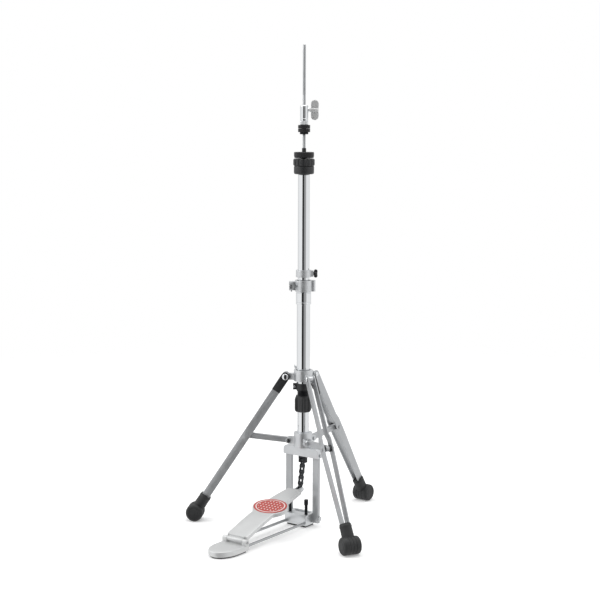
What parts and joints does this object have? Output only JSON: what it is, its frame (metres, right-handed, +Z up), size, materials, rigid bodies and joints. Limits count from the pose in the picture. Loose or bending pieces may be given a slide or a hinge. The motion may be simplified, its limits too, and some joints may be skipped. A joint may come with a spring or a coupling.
{
  "type": "hi-hat stand",
  "caption": "Folding tripod hi-hat stand with chain pedal, sprung pull rod, height tube, tilting cymbal seat and sliding clutch, without cymbals.",
  "frame": {"origin": "on the floor, under the tube axis, on the base pad's flat bottom", "axes": "+Z up along the tube and pull rod, -Y towards the heel end of the pedal, +X to the player's right"},
  "size_m": [0.4624, 0.567, 1.036],
  "materials": {
    "chrome": "polished chrome",
    "satin_steel": "satin",
    "cast_metal": "satin cast",
    "pedal_metal": "fine satin",
    "zinc": "zinc plated",
    "rubber": "matte moulded",
    "black_plastic": "moulded",
    "nylon": "smooth",
    "black_metal": "black oxide",
    "felt": "felt",
    "chain_steel": "oiled"
  },
  "bodies": {
    "frame": {"base_pad": "rubber", "base_plate": "cast_metal", "uprights": "satin_steel", "frame_head": "cast_metal", "frame_bolts": "zinc", "guide_bushings": "nylon", "strut_hub": "cast_metal", "hub_pins": "zinc", "base_tube": "chrome", "threaded_neck": "black_metal", "lower_tube": "chrome", "lock_ring": "black_plastic", "clamp_sleeve": "chrome", "tube_clamp": "cast_metal", "radius_rods": "satin_steel", "heel_plate": "pedal_metal", "heel_pad": "rubber"},
    "clamp_nut": {"clamp_wing": "zinc"},
    "left_spur": {"spur_left": "black_metal"},
    "right_spur": {"spur_right": "black_metal"},
    "knob": {"tension_knob": "black_plastic"},
    "cup": {"spring_cup": "zinc", "pull_spring": "zinc"},
    "collar": {"collar_body": "cast_metal", "collar_bushing": "nylon", "collar_pins": "chrome"},
    "collar_lock": {"collar_screw": "zinc"},
    "upper": {"upper_tube": "chrome", "seat_cup": "black_plastic"},
    "ring": {"tilt_ring": "black_plastic"},
    "seat": {"seat_plate": "zinc", "seat_felt": "felt"},
    "memory": {"memory_lock": "cast_metal"},
    "memory_screw": {"memory_key": "black_plastic"},
    "pull_rod": {"upper_rod": "chrome", "lower_rod": "zinc", "rod_collars": "zinc", "chain_connector": "black_metal"},
    "chain_run": {"chain": "chain_steel"},
    "pedal": {"footboard": "pedal_metal", "toe_clevis": "cast_metal"},
    "clutch": {"clutch_body": "chrome", "clutch_bolt": "black_metal", "clutch_felts": "felt"},
    "clutch_lock": {"clutch_screw": "chrome"},
    "leg_a": {"leg_a_strips": "satin_steel", "leg_a_cover": "black_plastic", "leg_a_foot": "rubber"},
    "strut_a": {"strut_a_bar": "satin_steel", "strut_a_bushing": "nylon"},
    "leg_b": {"leg_b_strips": "satin_steel", "leg_b_cover": "black_plastic", "leg_b_foot": "rubber"},
    "strut_b": {"strut_b_bar": "satin_steel", "strut_b_bushing": "nylon"},
    "leg_c": {"leg_c_strips": "satin_steel", "leg_c_cover": "black_plastic", "leg_c_foot": "rubber"},
    "strut_c": {"strut_c_bar": "satin_steel", "strut_c_bushing": "nylon"}
  },
  "joints": [
    {"name": "collar_slide", "type": "slide", "parent": "frame", "child": "collar", "axis": [0, 0, 1], "range_m": [0, 0.10667]},
    {"name": "collar_screw_turn", "type": "hinge", "parent": "collar", "child": "collar_lock", "pos_m": [-0.02165, 0.0125, 0.335], "axis": [-0.866, 0.5, 0], "continuous": true},
    {"name": "leg_a_swing", "type": "hinge", "parent": "collar", "child": "leg_a", "pos_m": [-0.03291, -0.019, 0.328], "axis": [0.5, -0.866, 0], "range_deg": [0, 27.05]},
    {"name": "strut_a_swing", "type": "hinge", "parent": "frame", "child": "strut_a", "pos_m": [-0.02685, -0.0155, 0.187], "axis": [0.5, -0.866, 0], "range_deg": [-70.2, 0]},
    {"name": "leg_b_swing", "type": "hinge", "parent": "collar", "child": "leg_b", "pos_m": [0.03291, -0.019, 0.328], "axis": [0.5, 0.866, 0], "range_deg": [0, 27.05]},
    {"name": "strut_b_swing", "type": "hinge", "parent": "frame", "child": "strut_b", "pos_m": [0.02685, -0.0155, 0.187], "axis": [0.5, 0.866, 0], "range_deg": [-70.2, 0]},
    {"name": "leg_c_swing", "type": "hinge", "parent": "collar", "child": "leg_c", "pos_m": [0, 0.038, 0.328], "axis": [-1, 0, 0], "range_deg": [0, 27.05]},
    {"name": "strut_c_swing", "type": "hinge", "parent": "frame", "child": "strut_c", "pos_m": [0, 0.031, 0.187], "axis": [-1, 0, 0], "range_deg": [-70.2, 0]},
    {"name": "height_slide", "type": "slide", "parent": "frame", "child": "upper", "axis": [0, 0, 1], "range_m": [-0.12, 0.025]},
    {"name": "memory_slide", "type": "slide", "parent": "frame", "child": "memory", "axis": [0, 0, 1], "range_m": [-0.0045, 0.08]},
    {"name": "memory_key_turn", "type": "hinge", "parent": "memory", "child": "memory_screw", "pos_m": [0.01699, 0.01234, 0.5525], "axis": [0.809, 0.5878, 0], "continuous": true},
    {"name": "clamp_nut_turn", "type": "hinge", "parent": "frame", "child": "clamp_nut", "pos_m": [-0.02103, -0.01528, 0.526], "axis": [0.5878, -0.809, 0], "continuous": true},
    {"name": "tilt_ring_turn", "type": "hinge", "parent": "upper", "child": "ring", "pos_m": [0, 0, 0.79], "axis": [0, 0, 1], "range_deg": [0, 180]},
    {"name": "seat_tilt", "type": "hinge", "parent": "upper", "child": "seat", "pos_m": [0, 0, 0.8], "axis": [1, 0, 0], "range_deg": [0, 2.5]},
    {"name": "cup_slide", "type": "slide", "parent": "frame", "child": "cup", "axis": [0, 0, 1], "range_m": [-0.003, 0.003]},
    {"name": "tension_knob_turn", "type": "hinge", "parent": "frame", "child": "knob", "pos_m": [0, 0, 0.269], "axis": [0, 0, 1], "range_deg": [-360.5, 360.5]},
    {"name": "left_spur_screw", "type": "slide", "parent": "frame", "child": "left_spur", "axis": [0, 0, 1], "range_m": [0, 0.012]},
    {"name": "right_spur_screw", "type": "slide", "parent": "frame", "child": "right_spur", "axis": [0, 0, 1], "range_m": [0, 0.012]},
    {"name": "pedal_tilt", "type": "hinge", "parent": "frame", "child": "pedal", "pos_m": [0, -0.235, 0.022], "axis": [1, 0, 0], "range_deg": [-6.9, 0]},
    {"name": "pull_rod_slide", "type": "slide", "parent": "frame", "child": "pull_rod", "axis": [0, 0, 1], "range_m": [-0.02683, 0], "stiffness_N_per_m": 1500, "springref_m": 0.012, "deforming": ["pull_spring"]},
    {"name": "chain_swing", "type": "hinge", "parent": "pull_rod", "child": "chain_run", "pos_m": [0, 0, 0.14253], "axis": [1, 0, 0], "range_deg": [0, 4.86]},
    {"name": "clutch_slide", "type": "slide", "parent": "pull_rod", "child": "clutch", "axis": [0, 0, 1], "range_m": [-0.025, 0.2]},
    {"name": "clutch_screw_turn", "type": "hinge", "parent": "clutch", "child": "clutch_lock", "pos_m": [0.01133, 0.00823, 0.9], "axis": [0.809, 0.5878, 0], "continuous": true}
  ],
  "couplings": [
    {"joint": "leg_a_swing", "follows": "collar_slide", "rad_per_m": 4.4244},
    {"joint": "strut_a_swing", "follows": "collar_slide", "rad_per_m": -11.486},
    {"joint": "leg_b_swing", "follows": "collar_slide", "rad_per_m": 4.4244},
    {"joint": "strut_b_swing", "follows": "collar_slide", "rad_per_m": -11.486},
    {"joint": "leg_c_swing", "follows": "collar_slide", "rad_per_m": 4.4244},
    {"joint": "strut_c_swing", "follows": "collar_slide", "rad_per_m": -11.486},
    {"joint": "seat_tilt", "follows": "tilt_ring_turn", "ratio": 0.013889},
    {"joint": "tension_knob_turn", "follows": "cup_slide", "rad_per_m": 2094.4},
    {"joint": "pull_rod_slide", "follows": "pedal_tilt", "m_per_rad": 0.22193},
    {"joint": "chain_swing", "follows": "pedal_tilt", "ratio": -0.70257}
  ]
}
